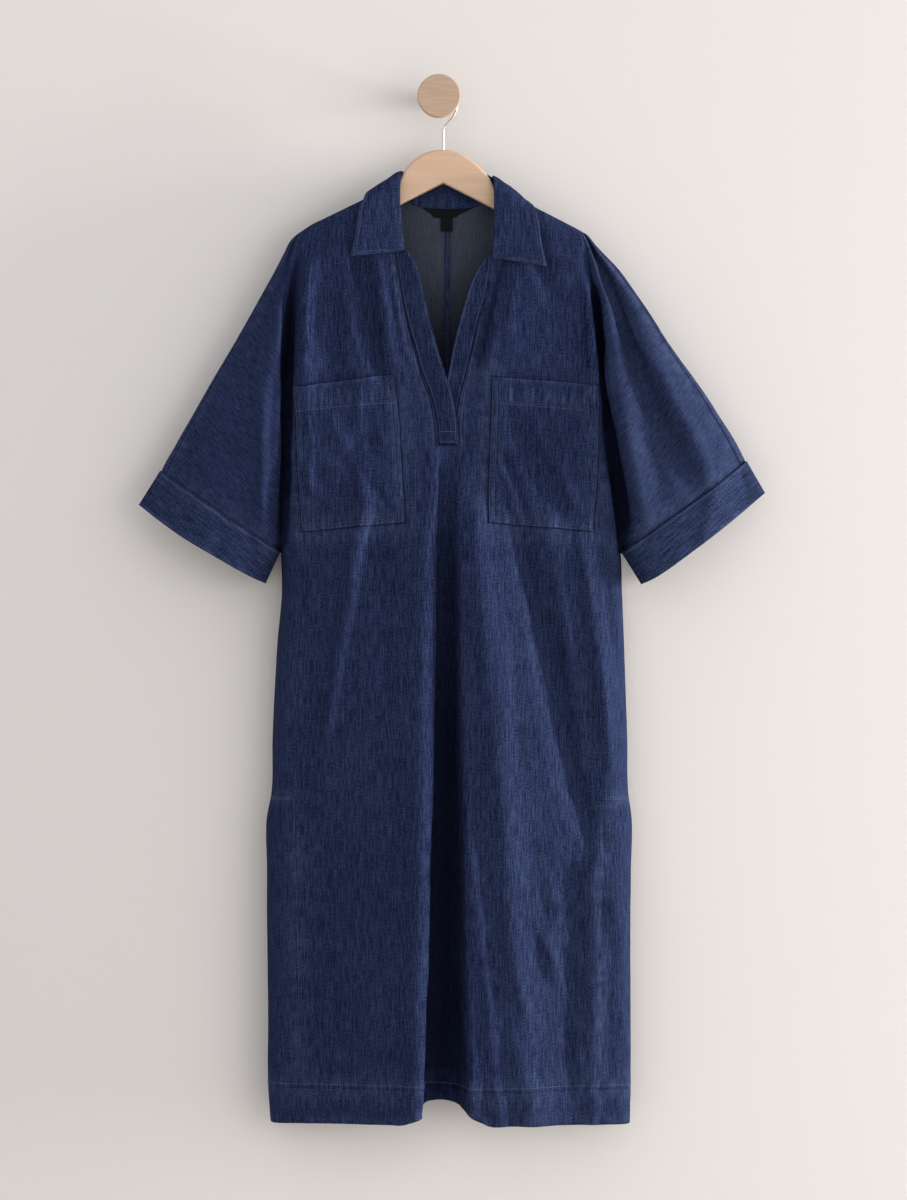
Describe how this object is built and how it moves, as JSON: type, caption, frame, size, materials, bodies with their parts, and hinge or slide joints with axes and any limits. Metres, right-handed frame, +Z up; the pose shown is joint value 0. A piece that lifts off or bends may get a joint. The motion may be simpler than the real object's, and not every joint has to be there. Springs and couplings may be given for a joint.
{
  "type": "kaftan dress on a wooden hanger with wall peg",
  "caption": "Midi denim kaftan dress with shirt collar, open placket, patch pockets and short cuffed sleeves, on a wooden hanger on a round wall peg.",
  "frame": {"origin": "middle of the peg's back face, where it stands flat on the wall", "axes": "+Z up, along the dress; +Y out of the peg's back face into the wall, so that the dress hangs on the -Y side; +X to the right of a person who faces the dress"},
  "size_m": [0.848, 0.0897, 1.418],
  "materials": {
    "front": "indigo denim, fine twill with streaks",
    "back_left": "indigo denim, fine twill with streaks",
    "back_right": "indigo denim, fine twill with streaks",
    "placket_over": "indigo denim, topstitched",
    "placket_under": "indigo denim, topstitched",
    "collar": "indigo denim in two layers, topstitched",
    "pocket_left": "indigo denim, twin topstitching",
    "pocket_right": "indigo denim, twin topstitching",
    "cuff_left": "indigo denim, topstitched",
    "cuff_right": "indigo denim, topstitched",
    "neck_label": "black woven tape, blank",
    "size_tab": "dark woven tape, blank",
    "hanger": "pale beech, satin lacquer",
    "hook": "bright nickel-plated wire",
    "peg": "pale wood with fine grain, matt"
  },
  "bodies": {
    "root": {"front": "front", "back_left": "back_left", "back_right": "back_right", "placket_over": "placket_over", "placket_under": "placket_under", "collar": "collar", "pocket_left": "pocket_left", "pocket_right": "pocket_right", "cuff_left": "cuff_left", "cuff_right": "cuff_right", "neck_label": "neck_label", "size_tab": "size_tab", "hanger": "hanger", "hook": "hook", "peg": "peg"}
  },
  "joints": []
}
